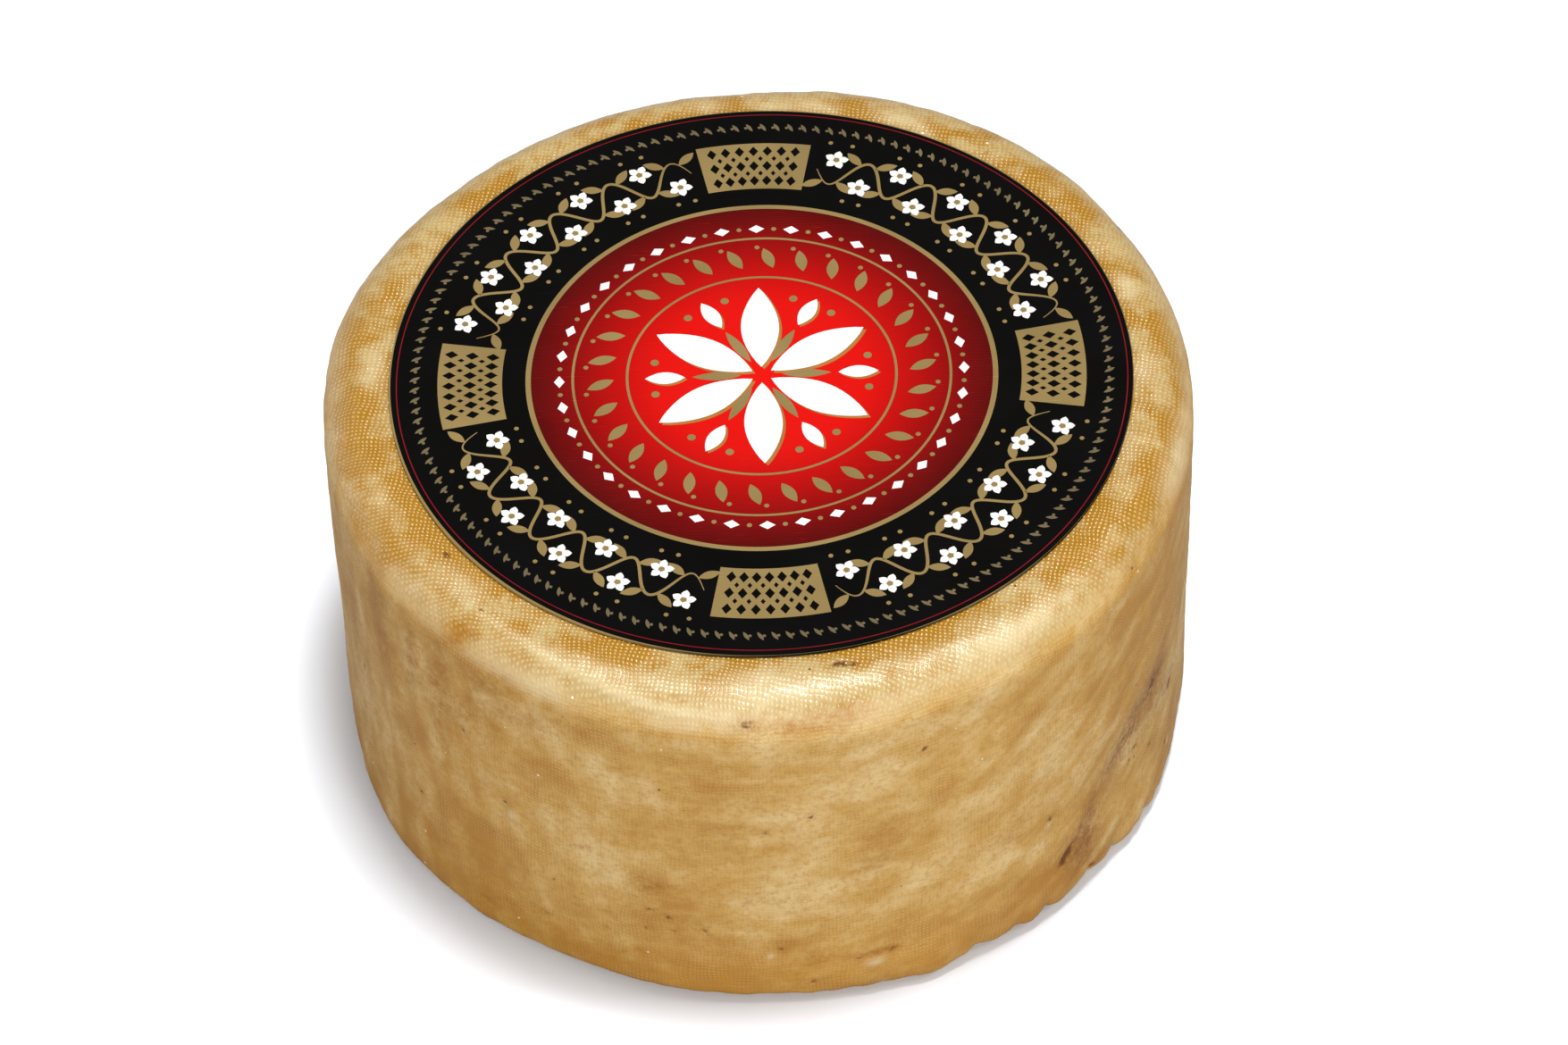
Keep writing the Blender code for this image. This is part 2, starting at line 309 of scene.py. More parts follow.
# Pale patches of the rim, in the same order: worn crust, and from azimuth -91 to -54 on the front, painted
# highlight that whitens the shine of the overhead lamp
PALE_AND_HIGHLIGHT_PATCHES = (
    (-90, 91, 14, 3, 1), (-91, 87, 8, 2.4, 0.6), (-73, 89, 9, 2.4, 0.2), (-54, 92.6, 13, 2.6, 1),
    (-63, 91, 10, 2.4, 0.3), (-122, 96.5, 16, 1.6, 0.4), (-108, 91, 12, 2, 0.4), (-118, 90.5, 12, 2, 0.4),
    (-143.8, 94.5, 9, 2, 0.3), (-139, 87.5, 8, 2.6, 0.5), (-160.9, 89.6, 6, 2.2, 0.4),
    (174.3, 86, 6, 2.4, 0.6), (17.3, 88.2, 4, 2.4, 0.7), (-0.3, 86.3, 5, 2.6, 0.8),
    (-16.9, 85.4, 6, 2.2, 0.5), (-15, 96.2, 9, 2, 0.7), (95.7, 88.4, 4, 2, 0.6), (85.2, 87.4, 5, 2, 0.6),
    (79.3, 88.2, 5, 1.8, 0.6), (66.3, 88.9, 6, 2.4, 0.6),
)
# Dark brown spots of the rim, in the same order
RIM_SPOTS = (
    (-79.7, 85.7, 2.5, 1.5, 1.1), (-77.2, 86.4, 2.3, 1.1, 0.9), (-145.2, 84.8, 1.9, 1.4, 1.1),
    (29.6, 95.9, 2, 1.2, 1), (-133.9, 89.4, 1.3, 1, 0.9), (52, 88, 1.5, 1, 1), (69.7, 88.3, 1.2, 1, 0.8),
    (85.9, 91.8, 1.2, 1, 0.8),
)
# Where the wall is a deeper gold all over, in mm: (azimuth, height, half-length, half-width, turn, strength)
DULL_SIDES = (
    (-140, 80, 36, 34, 0, 0.2), (-22, 74, 40, 28, 0, 0.3), (-128, 20, 40, 22, 0, 0.16),
    (-90, 40, 20, 14, 0, 0.12), (60, 60, 50, 40, 0, 0.2), (140, 40, 50, 30, 0, 0.2),
)
# Where the wall was brushed, and which way:
# (azimuth, reach in degrees, turn, length and width of a stroke in mm, strength)
BRUSHED_SIDES = (
    (-38, 34, 27, 16, 4.6, 0.14),
    (-142, 32, 96, 18, 6.0, 0.16),
    (-92, 26, 5, 20, 3.4, 0.08),
    (52, 60, 20, 16, 5.0, 0.15),
    (148, 44, 80, 18, 6.0, 0.16),
)
# Where the wall is paler all over, in the order of the marks above
PALE_SIDES = (
    (-37, 14, 18, 13, 10, 0.34), (-56, 30, 14, 12, 0, 0.1), (-104, 52, 20, 14, 0, 0.14),
    (-112, 16, 14, 10, 0, 0.14), (70, 44, 20, 14, 0, 0.16), (166, 20, 20, 14, 0, 0.16),
)
# Where the rind of the wall is amber, in the order of the marks above
AMBER_SIDES = (
    (-24, 78, 30, 26, 0, 0.55), (-34, 50, 26, 14, 30, 0.3), (-60, 40, 14, 9, 10, 0.3),
    (-132, 14, 24, 12, 0, 0.35), (-90, 8, 60, 9, 0, 0.45), (-160, 70, 24, 30, 0, 0.3),
    (-136, 50, 26, 40, 0, 0.3), (40, 60, 40, 30, 0, 0.4), (150, 40, 40, 24, 0, 0.35),
    (80, 8, 80, 9, 0, 0.45), (175, 8, 60, 9, 0, 0.45),
)
# Notches of the foot, most of them on the lower right: (azimuth, half-length and depth in mm)
FOOT_NOTCHES = (
    (-29.2, 1.8, 1.2), (-37, 1.8, 1.4), (-42, 1.6, 1.2), (-50.9, 2.2, 1.4), (-55.9, 1.8, 1),
    (-62, 2.4, 1.3), (24, 2, 1), (61, 1.8, 1.1), (118, 2.2, 0.9), (164, 1.8, 1),
)
# The rind's own unevenness, everywhere and on the rim alone, in mm: (size of the lumps, depth)
SKIN_LUMPS = ((24, 0.09), (8, 0.05), (3, 0.035))
RIM_LUMPS = ((12, 0.07), (4.5, 0.045))
# The shallow scallops of the foot, which are deepest on the lower right
SCALLOP_SIZE = 8.0 * MM
SCALLOP_DEPTH = 1.6 * MM
SCALLOP_HEIGHT = 6.0 * MM
MEAN_SCALLOP = 0.25
PIT_DEPTH = 0.16 * MM
# The ridge that the edge of the hoop pressed along the rim, which climbs and stands out on the front left
RIDGE_HEIGHT = 0.22 * MM
RIDGE_WIDTH = 0.07

pits = painted(PITS)
rim_spots = painted(RIM_SPOTS, patch)
relief = sum(depth * MM * lumps(size * MM, seed) for seed, (size, depth) in enumerate(SKIN_LUMPS, 1))
relief += eased(lean, 0.1, 0.6) * sum(
    depth * MM * lumps(size * MM, seed) for seed, (size, depth) in enumerate(RIM_LUMPS, 4)
)
ridge_lean = 0.46 + 0.36 * eased(-angle_from(-99), 0, 32)
hoop_ridge = np.exp(-(((lean - ridge_lean) / RIDGE_WIDTH) ** 2)) * (0.3 + 0.7 * near(-117, 24))
relief += RIDGE_HEIGHT * hoop_ridge * (1 + 0.4 * lumps(16 * MM, 6))
foot_sag = np.exp(-((heights / SCALLOP_HEIGHT) ** 2)) * (rows[:, 2] < 1)[:, None]
lower_right = 0.3 + 0.7 * near(-45, 32)
scallops = np.abs(
    [noise.noise(Vector((math.cos(a), math.sin(a), 0)) * (SHOULDER_RADIUS / SCALLOP_SIZE)) for a in azimuths]
)
relief += SCALLOP_DEPTH * foot_sag * lower_right * (scallops - MEAN_SCALLOP)
for azimuth, half_length, depth in FOOT_NOTCHES:
    away = np.radians(angle_from(azimuth)) * SHOULDER_RADIUS / MM
    relief -= depth * MM * foot_sag * np.exp(-((away / half_length) ** 2))
for *where, depth in FOLDS:
    relief -= depth * MM * oval(*where)
for *where, proud in NODULES:
    relief += proud * MM * oval(*where)
relief -= PIT_DEPTH * (pits + 0.3 * rim_spots)
skin = plain_skin + outward * (swell + relief * exposed)[..., None]
skin[..., 2] = np.maximum(skin[..., 2], 0.0)


def strokes(azimuth, reach, turn, length, width, strength):
    """Streaks left by the brush near that azimuth, fading away from it. Their mean is about 0."""
    across = np.radians(angle_from(azimuth)) * SHOULDER_RADIUS / MM
    up = heights / MM
    turned = math.radians(turn)
    along = (across * math.cos(turned) + up * math.sin(turned)) / length
    aside = (up * math.cos(turned) - across * math.sin(turned)) / width
    values = [noise.fractal(Vector((a, b, azimuth)), 1.0, 2.1, 3) for a, b in zip(along.flat, aside.flat)]
    drawn = np.array(values).reshape(heights.shape) / np.std(values)
    return strength * drawn * near(azimuth, reach)


# What the rind's material reads at each point, from 0 to 1: how far it leans in over the rim, how pale and
# how golden it is, and the marks above
streaks = lumps(7 * MM, 12, 4, (1.0, 1.0, 2.0))
mottles = lumps(2.6 * MM, 14, 2, (1.0, 1.0, 1.3))
rim_blotches = lumps(11 * MM, 13, 4)
label_low, label_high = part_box("label")
LABEL_MIDDLE = ((label_low[0] + label_high[0]) / 2, (label_low[1] + label_high[1]) / 2)
LABEL_RADIUS = (label_high[0] - label_low[0]) / 2
off_middle = plain_skin[..., :2] - LABEL_MIDDLE
from_label = np.hypot(off_middle[..., 0], off_middle[..., 1]) - LABEL_RADIUS
OIL_AND_SHADE_REACH = 2.2 * MM
MOST_WEAR = 0.55
shoulder_wear = 0.2 + 0.35 * near(-108, 34)
on_shoulder = eased(lean, 0.08, 0.25) * (1 - eased(lean, 0.55, 0.8))
rim_gold = 0.28 + 0.42 * near(-163, 34) + 0.1 * near(-20, 30)
# A darker golden band hugging the label's edge: oil soaked in beside the card, and painted shade under its
# edge
hugging = eased(lean, 0.6, 0.9) * np.exp(-np.maximum(from_label, 0) / OIL_AND_SHADE_REACH)
rind_paint = {
    "lean": lean,
    "tone": 0.60
    + 0.12 * lumps(26 * MM, 11, 3, (1.0, 1.0, 1.3))
    + sum(strokes(*side) for side in BRUSHED_SIDES)
    + 0.09 * lumps(9 * MM, 15, 3)
    + 0.05 * mottles
    - 0.42 * eased(-heights / MM, -34, -4)
    + painted(PALE_SIDES)
    - painted(DULL_SIDES),
    "honey": eased(lean, 0.2, 0.6) * (rim_gold + 0.14 * rim_blotches + 0.07 * lumps(4.5 * MM, 16, 4))
    + 0.5 * hugging * (0.7 + 0.3 * rim_blotches)
    + painted(AMBER_SIDES) * (0.8 + 0.3 * streaks)
    + painted(HONEY_PATCHES, patch) * (0.8 + 0.2 * streaks),
    "stain": painted(STAINS) * (0.8 + 0.25 * streaks)
    + 0.5 * eased(streaks - 0.02 * heights / MM, 0.9, 2.6)
    + 0.4 * pits,
    "bruise": painted(BRUISES) * (0.85 + 0.12 * streaks),
    "pit": pits + rim_spots,
    "pale": painted([(*where, 1.0) for *where, _ in NODULES])
    # worn pale patches, with painted highlight on the front of the rim
    + painted(PALE_AND_HIGHLIGHT_PATCHES, patch)
    + 0.7 * hoop_ridge * shoulder_wear / MOST_WEAR
    + shoulder_wear * on_shoulder * eased(rim_blotches, -1.2, 0.8),
}


def skin_mesh():
    """The skin as a closed mesh: a grid round the wheel, closed in the middle of its underside and top."""
    row_count, column_count = heights.shape
    points = skin.reshape(-1, 3).tolist() + [[0, 0, 0], [0, 0, WHEEL_HEIGHT]]
    under_middle = row_count * column_count
    top_middle = under_middle + 1
    last_row = (row_count - 1) * column_count
    faces = []
    for column in range(column_count):
        beside = (column + 1) % column_count
        faces.append((under_middle, beside, column))
        faces.append((top_middle, last_row + column, last_row + beside))
        for low in range(0, last_row, column_count):
            high = low + column_count
            faces.append((low + column, low + beside, high + beside, high + column))
    mesh = bpy.data.meshes.new("cheese_skin")
    mesh.from_pydata(points, [], faces)
    mesh.shade_smooth()
    for name, values in rind_paint.items():
        layer = mesh.attributes.new(name, "FLOAT", "POINT")
        layer_values = np.append(np.clip(values, 0, 1).reshape(-1), [0.0, 0.0])
        layer.data.foreach_set("value", layer_values.astype(np.float32))
    return mesh


cheese = bpy.data.objects.new("cheese_skin", skin_mesh())
bpy.context.scene.collection.objects.link(cheese)


def add_node(tree, kind, inputs=None, **settings):
    """A new node with those settings. Each input is named or numbered, and is linked or set to a value."""
    node = tree.nodes.new(kind)
    for name, value in settings.items():
        setattr(node, name, value)
    for name, value in (inputs or {}).items():
        if isinstance(value, bpy.types.NodeSocket):
            tree.links.new(value, node.inputs[name])
        else:
            node.inputs[name].default_value = value
    return node


def worked_out(tree, operation, first, second=0.0, third=0.0):
    """The result of one arithmetic step."""
    return add_node(tree, "ShaderNodeMath", {0: first, 1: second, 2: third}, operation=operation).outputs[0]


def vector_worked_out(tree, operation, first, second):
    """The result of one step on vectors."""
    return add_node(tree, "ShaderNodeVectorMath", {0: first, 1: second}, operation=operation).outputs[0]


def scaled(tree, vector, scale):
    """The vector times that number."""
    return add_node(tree, "ShaderNodeVectorMath", {0: vector, "Scale": scale}, operation="SCALE").outputs[0]


def blotches(tree, place, size, detail=3.0, roughness=0.5):
    """Noise from 0 to 1 whose blotches are about that size, in millimetres."""
    noise_inputs = {"Vector": place, "Scale": 1 / size, "Detail": detail, "Roughness": roughness}
    return add_node(tree, "ShaderNodeTexNoise", noise_inputs).outputs[0]


def stretched(tree, value, low, high, new_low=0.0, new_high=1.0):
    """The value's range from low to high drawn out to the new range, and held at its ends."""
    range_inputs = {"Value": value, "From Min": low, "From Max": high, "To Min": new_low, "To Max": new_high}
    return add_node(tree, "ShaderNodeMapRange", range_inputs).outputs[0]


def mixed(tree, share, first, second):
    """The first number giving way to the second as the share goes from 0 to 1."""
    return add_node(tree, "ShaderNodeMix", {0: share, 2: first, 3: second}).outputs[0]


def blended(tree, share, first, second):
    """The first colour giving way to the second as the share goes from 0 to 1."""
    return add_node(tree, "ShaderNodeMix", {0: share, 6: first, 7: second}, data_type="RGBA").outputs[2]


def paint(red, green, blue):
    """A colour as seen on a screen, 0 to 255, as the light it stands for."""
    def light(value):
        value /= 255
        return value / 12.92 if value <= 0.04045 else ((value + 0.055) / 1.055) ** 2.4
    return (light(red), light(green), light(blue), 1.0)


def colour_scale(tree, value, stops):
    """A colour for each value, from stops of (value, colour)."""
    ramp = add_node(tree, "ShaderNodeValToRGB", {"Fac": value})
    for place, colour in stops[1:-1]:
        ramp.color_ramp.elements.new(place).color = colour
    ramp.color_ramp.elements[0].color = stops[0][1]
    ramp.color_ramp.elements[-1].color = stops[-1][1]
    return ramp.outputs[0]


def new_group(name, inputs, outputs):
    """A node group with those inputs and outputs, as {name: kind}. Returns it and its two end nodes."""
    group = bpy.data.node_groups.new(name, "ShaderNodeTree")
    for socket, kind in inputs.items():
        group.interface.new_socket(socket, in_out="INPUT", socket_type=kind)
    for socket, kind in outputs.items():
        group.interface.new_socket(socket, in_out="OUTPUT", socket_type=kind)
    return group, group.nodes.new("NodeGroupInput"), group.nodes.new("NodeGroupOutput")


def new_material(name):
    """A material with its node tree, its shader and its place on the wheel in millimetres."""
    material = bpy.data.materials.new(name)
    material.use_nodes = True
    tree = material.node_tree
    shader = tree.nodes["Principled BSDF"]
    coordinates = add_node(tree, "ShaderNodeTexCoord").outputs["Object"]
    return material, tree, shader, scaled(tree, coordinates, 1 / MM)


def cloth_print_group():
    """The print of a plain woven cloth: a bump in each gap between its threads, counted by Threads."""
    group, given, result = new_group(
        "cloth_print",
        {"Threads": "NodeSocketVector", "Wander": "NodeSocketVector"},
        {"Height": "NodeSocketFloat"},
    )
    wandering = vector_worked_out(group, "ADD", given.outputs["Threads"], given.outputs["Wander"])
    turns = scaled(group, wandering, math.tau)
    sines = add_node(group, "ShaderNodeVectorMath", {0: turns}, operation="SINE").outputs[0]
    waves = add_node(group, "ShaderNodeSeparateXYZ", {0: sines})
    across, along = (worked_out(group, "MULTIPLY_ADD", wave, 0.5, 0.5) for wave in waves.outputs[:2])
    group.links.new(worked_out(group, "MULTIPLY", across, along), result.inputs["Height"])
    return group


def scattered_dots(tree, place, spacing, radius, share):
    """Dots of about that radius, one in each cell of that spacing, for that share of the cells."""
    cells = add_node(tree, "ShaderNodeTexVoronoi", {"Vector": place, "Scale": 1 / spacing})
    dot = stretched(tree, cells.outputs["Distance"], radius / spacing * 0.5, radius / spacing, 1.0, 0.0)
    chance = add_node(tree, "ShaderNodeSeparateColor", {0: cells.outputs["Color"]}).outputs[0]
    return worked_out(tree, "MULTIPLY", dot, worked_out(tree, "LESS_THAN", chance, share))


# The two cloths: how far apart their threads lie, in mm, how many go round the wall, how far the top one is
# turned, in radians, and how many threads they wander from true
TOP_CLOTH_PITCH = 1.02
TOP_CLOTH_TURN = 0.18
BAND_CLOTH_PITCH = 1.0
BAND_THREADS_ROUND = 650
CLOTH_WANDER = 2.2
# The colours of the crust, of the oil-soaked and rubbed bumps of its print, and of its marks. On the rim the
# pale bumps also stand for painted glints.
DULL_WALL = paint(174, 120, 34)
PLAIN_WALL = paint(197, 153, 76)
PALE_WALL = paint(218, 186, 126)
AMBER_WALL = paint(190, 134, 36)
STRAW_RIM = paint(181, 156, 102)
HONEY_RIM = paint(156, 110, 14)
BROWN_GRAIN = paint(172, 118, 42)
STRAW_BUMPS = paint(219, 196, 140)
HONEY_BUMPS = paint(219, 178, 92)
# The pale crust colour is also the painted highlight on the front of the rim
PALE_CRUST_AND_HIGHLIGHT = paint(219, 202, 160)
STAIN_BROWN = paint(160, 106, 20)
BRUISE_BROWN = paint(134, 82, 26)
HOLE_BROWN = paint(104, 58, 0)
SALT_WHITE = paint(250, 242, 220)


def oiled_rind():
    """The rind: natural crust with the print of the pressing cloth and a thin coat of oil."""
    material, tree, shader, place = new_material("oiled_rind")
    lean, tone, honey, stain, bruise, pit, pale = (
        add_node(tree, "ShaderNodeAttribute", attribute_name=name).outputs["Fac"] for name in rind_paint
    )
    grain = blotches(tree, place, 1.3, 4.0, 0.66)

    # The print of the band's cloth on the wall gives way to that of the top cloth on the rim
    drift = add_node(tree, "ShaderNodeTexNoise", {"Vector": place, "Scale": 0.14, "Detail": 1.0})
    wander = scaled(tree, drift.outputs["Color"], CLOTH_WANDER)
    sides = add_node(tree, "ShaderNodeSeparateXYZ", {0: place})
    turn = worked_out(tree, "ARCTAN2", sides.outputs["Y"], sides.outputs["X"])
    threads_round = worked_out(tree, "MULTIPLY", turn, BAND_THREADS_ROUND / math.tau)
    threads_up = worked_out(tree, "MULTIPLY", sides.outputs["Z"], 1 / BAND_CLOTH_PITCH)
    band_threads = add_node(tree, "ShaderNodeCombineXYZ", {0: threads_round, 1: threads_up}).outputs[0]
    top_lie = {"Vector": place, "Rotation": (0, 0, TOP_CLOTH_TURN), "Scale": (1 / TOP_CLOTH_PITCH,) * 3}
    top_threads = add_node(tree, "ShaderNodeMapping", top_lie).outputs[0]
    cloth = cloth_print_group()
    band_print, top_print = (
        add_node(tree, "ShaderNodeGroup", {"Threads": threads, "Wander": wander}, node_tree=cloth).outputs[0]
        for threads in (band_threads, top_threads)
    )
    on_rim = stretched(tree, lean, 0.15, 0.5)
    threads = mixed(tree, on_rim, band_print, top_print)

    # The ground colour of the crust, from straw to where the oil has soaked in
    unsteady = worked_out(tree, "MULTIPLY_ADD", grain, 0.9, -0.45)
    clotted = worked_out(tree, "MULTIPLY_ADD", blotches(tree, place, 4.0, 4.0, 0.65), 1.5, -0.75)
    wall = colour_scale(tree, tone, ((0.0, DULL_WALL), (0.5, PLAIN_WALL), (1.0, PALE_WALL)))
    wall = blended(tree, honey, wall, AMBER_WALL)
    golden = worked_out(tree, "ADD", worked_out(tree, "MULTIPLY_ADD", unsteady, 0.8, honey), clotted)
    golden = stretched(tree, golden, 0.14, 0.74)
    rim = blended(tree, golden, STRAW_RIM, HONEY_RIM)
    colour = blended(tree, on_rim, wall, rim)
    colour = blended(tree, stretched(tree, grain, 0.46, 0.66, 0.0, 0.5), colour, BROWN_GRAIN)
    # The bumps of the print are rubbed pale; on the rim that pale colour is also painted glints
    bumps = stretched(tree, worked_out(tree, "MULTIPLY_ADD", unsteady, 0.6, threads), 0.25, 0.75)
    worn = stretched(tree, blotches(tree, place, 13.0, 3.0), 0.36, 0.62, 0.08, 0.3)
    dots = worked_out(tree, "MULTIPLY", bumps, mixed(tree, on_rim, worn, mixed(tree, golden, 0.48, 0.6)))
    colour = blended(tree, dots, colour, blended(tree, golden, STRAW_BUMPS, HONEY_BUMPS))
    # Pale crust: white grains, the worn ridge and worn patches, and a painted highlight on the front of the
    # rim
    colour = blended(tree, worked_out(tree, "MULTIPLY", pale, 0.6), colour, PALE_CRUST_AND_HIGHLIGHT)
    # Stains, bruises, small holes, dark flecks and white crumbs, with edges broken up by the grain
    ragged = stretched(tree, grain, 0.36, 0.58, 0.45, 1.0)
    stained = worked_out(tree, "MULTIPLY", stain, ragged)
    colour = blended(tree, stained, colour, STAIN_BROWN)
    bruised = worked_out(tree, "MULTIPLY", bruise, ragged)
    colour = blended(tree, bruised, colour, BRUISE_BROWN)
    flecks = scattered_dots(tree, place, 9.0, 0.42, 0.35)
    holed = stretched(tree, worked_out(tree, "ADD", pit, unsteady), 0.62, 0.95)
    colour = blended(tree, worked_out(tree, "MAXIMUM", holed, flecks), colour, HOLE_BROWN)
    salt = scattered_dots(tree, vector_worked_out(tree, "ADD", place, (31.0, 7.0, 3.0)), 7.0, 0.38, 0.5)
    colour = blended(tree, salt, colour, SALT_WHITE)
    tree.links.new(colour, shader.inputs["Base Color"])

    # The rim is oilier than the wall, and the rubbed bumps shine most
    gloss = worked_out(tree, "MULTIPLY_ADD", grain, 0.24, mixed(tree, on_rim, 0.44, 0.12))
    gloss = worked_out(tree, "MULTIPLY_ADD", dots, -0.12, gloss)
    tree.links.new(gloss, shader.inputs["Roughness"])
    shader.inputs["Specular IOR Level"].default_value = 0.5

    print_depth = mixed(tree, on_rim, 0.06, mixed(tree, golden, 0.07, 0.14))
    rind_height = worked_out(tree, "MULTIPLY", threads, print_depth)
    rind_height = worked_out(tree, "MULTIPLY_ADD", grain, mixed(tree, on_rim, 0.14, 0.1), rind_height)
    bump = add_node(tree, "ShaderNodeBump", {"Height": rind_height, "Distance": MM, "Strength": 1.0})
    tree.links.new(bump.outputs[0], shader.inputs["Normal"])
    return material


cheese.data.materials.append(oiled_rind())
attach(cheese, "root")
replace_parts(cheese, "cheese_wheel")


# The label is a disc of stout laid card, printed black with a red middle, varnished, die-cut, and glued to
# the flat of the top while the rind is still tacky. The print lies a little off the middle of the cut, so the
# gold border is wider on the left and runs out at the front.
CARD_MIDDLE = Vector((*LABEL_MIDDLE, 0))
PRINT_MIDDLE = CARD_MIDDLE + Vector((0.22 * MM, 0.13 * MM, 0))
INK_ROOM = 0.07 * MM
CARD_TOP = label_high[2] - INK_ROOM
CARD_BOTTOM = label_low[2]
CARD_EDGE_ROUND = 0.08 * MM
CARD_STEPS = 360
RED_RADIUS = 51.8
# The printed rings from the middle outwards, in mm: (outer radius, finish)
CARD_RINGS = (
    (20, "red_field"),
    (40, "red_field"),
    (RED_RADIUS, "red_field"),
    (53.0, "gold_ink"),
    (67.0, "black_field"),
    (81.85, "black_field"),
    (82.08, "red_line"),
)
# How wide the gold border shows, in mm: its least width, then bulges as (azimuth, reach in degrees, width)
BORDER_LEAST = 0.02
BORDER_WIDTHS = ((-140, 32, 0.42), (175, 45, 0.2), (60, 50, 0.14), (-57, 14, 0.12))
# The cut edge starts to turn gold where the border is that wide, and is all gold where it is that wide, in mm
EDGE_GOLD_FROM = 0.06
EDGE_GOLD_FULL = 0.26
LAID_LINE_PITCH = 0.67
INK_ROUGHNESS = 0.3
GOLD = paint(146, 124, 78)
DULLER_GOLD = paint(132, 111, 67)


def laid_card_group():
    """Laid card: fine level ridges across the sheet, a little uneven, that also show through the ink."""
    group, given, result = new_group(
        "laid_card", {"Place": "NodeSocketVector"}, {"Height": "NodeSocketFloat", "Worn": "NodeSocketFloat"}
    )
    drawn_out = vector_worked_out(group, "MULTIPLY", given.outputs["Place"], (0.08, 1.0, 1.0))
    waver = blotches(group, drawn_out, 2.2, 2.0)
    across = add_node(group, "ShaderNodeSeparateXYZ", {0: given.outputs["Place"]}).outputs["Y"]
    lines = worked_out(group, "MULTIPLY", across, math.tau / LAID_LINE_PITCH)
    phase = worked_out(group, "MULTIPLY_ADD", waver, 3.0, lines)
    ridge = worked_out(group, "MULTIPLY_ADD", worked_out(group, "SINE", phase), 0.5, 0.5)
    faint = stretched(group, blotches(group, given.outputs["Place"], 9.0, 3.0), 0.3, 0.7, 0.4, 1.0)
    group.links.new(worked_out(group, "MULTIPLY", ridge, faint), result.inputs["Height"])
    speck = stretched(group, blotches(group, drawn_out, 0.5, 4.0, 0.7), 0.60, 0.75)
    group.links.new(worked_out(group, "MULTIPLY", speck, ridge), result.inputs["Worn"])
    return group


laid_card = laid_card_group()


def printed_ink(name, colour_of, through_colour, through_share, metallic=0.0):
    """Ink on laid card under a satin varnish. Thin ink, on the ridges, lets the other colour through."""
    material, tree, shader, place = new_material(name)
    card = add_node(tree, "ShaderNodeGroup", {"Place": place}, node_tree=laid_card)
    worn = worked_out(tree, "MULTIPLY", card.outputs["Worn"], through_share)
    thin = worked_out(tree, "MULTIPLY_ADD", card.outputs["Height"], through_share * 0.25, worn)
    tree.links.new(blended(tree, thin, colour_of(tree, place), through_colour), shader.inputs["Base Color"])
    cloud = blotches(tree, place, 14, 3.0)
    uneven = stretched(tree, cloud, 0.3, 0.7, INK_ROUGHNESS - 0.05, INK_ROUGHNESS + 0.05)
    tree.links.new(uneven, shader.inputs["Roughness"])
    lift = worked_out(tree, "MULTIPLY", card.outputs["Height"], 0.014)
    bump = add_node(tree, "ShaderNodeBump", {"Height": lift, "Distance": MM, "Strength": 1.0})
    tree.links.new(bump.outputs[0], shader.inputs["Normal"])
    shader.inputs["Metallic"].default_value = metallic
    shader.inputs["Specular IOR Level"].default_value = 0.08
    return material


def even_ink(colour, mottle, size=20):
    """One ink, a touch uneven from place to place."""
    def colour_of(tree, place):
        cloud = stretched(tree, blotches(tree, place, size, 3.0), 0.3, 0.7)
        return blended(tree, cloud, colour, mottle)
    return colour_of


def glowing_red(tree, place):
    """The red field: bright in the middle and darker towards its gold ring."""
    flat = vector_worked_out(tree, "MULTIPLY", place, (1.0, 1.0, 0.0))
    middle = tuple(PRINT_MIDDLE / MM)
    distance = add_node(tree, "ShaderNodeVectorMath", {0: flat, 1: middle}, operation="DISTANCE")
    return colour_scale(tree, worked_out(tree, "DIVIDE", distance.outputs["Value"], RED_RADIUS), (
        (0.0, paint(208, 16, 8)),
        (0.45, paint(198, 12, 7)),
        (0.72, paint(146, 6, 5)),
        (0.9, paint(96, 4, 4)),
        (1.0, paint(72, 3, 3)),
    ))


def cut_edge(tree, place):
    """The cut edge: gold where the border is, and black where it has run out; on the front that black also
    stands as painted shade along the card's edge.
    """
    bordered = add_node(tree, "ShaderNodeAttribute", attribute_name="bordered").outputs["Fac"]
    edge_gold = even_ink(GOLD, DULLER_GOLD, size=6)
    return blended(tree, bordered, paint(8, 7, 6), edge_gold(tree, place))


# Each ink's colour, the colour that shows through where it is thin, how much of it shows, and any metal sheen
INK_FINISHES = {
    "cut_edge": (cut_edge, paint(110, 90, 56), 0.3),
    "black_field": (even_ink(paint(2, 2, 1), paint(4, 3, 3)), paint(34, 29, 26), 0.2),
    "red_field": (glowing_red, paint(226, 44, 32), 0.25),
    "red_line": (even_ink(paint(132, 18, 30), paint(114, 12, 22)), paint(180, 70, 74), 0.3),
    "gold_ink": (even_ink(GOLD, DULLER_GOLD), paint(186, 168, 124), 0.3, 0.15),
    "dim_gold_ink": (even_ink(paint(110, 97, 70), paint(94, 83, 59)), paint(128, 116, 88), 0.3),
    "white_ink": (even_ink(paint(232, 230, 226), paint(222, 218, 212)), paint(196, 190, 184), 0.3),
    "shade_ink": (even_ink(paint(168, 112, 56), paint(152, 98, 46)), paint(196, 144, 90), 0.3),
}
inks = {name: printed_ink(name, *finish) for name, finish in INK_FINISHES.items()}


def add_label_piece(name, mesh):
    """Puts a piece of the label in the scene, with its body and finish."""
    piece = bpy.data.objects.new(name, mesh)
    bpy.context.scene.collection.objects.link(piece)
    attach(piece, "root")
    return piece


def border_width(turn):
    """How wide the gold border shows there."""
    azimuth = math.degrees(turn)
    bulges = [
        width * math.exp(-((((azimuth - middle + 180) % 360 - 180) / reach) ** 2))
        for middle, reach, width in BORDER_WIDTHS
    ]
    return (BORDER_LEAST + sum(bulges)) * MM


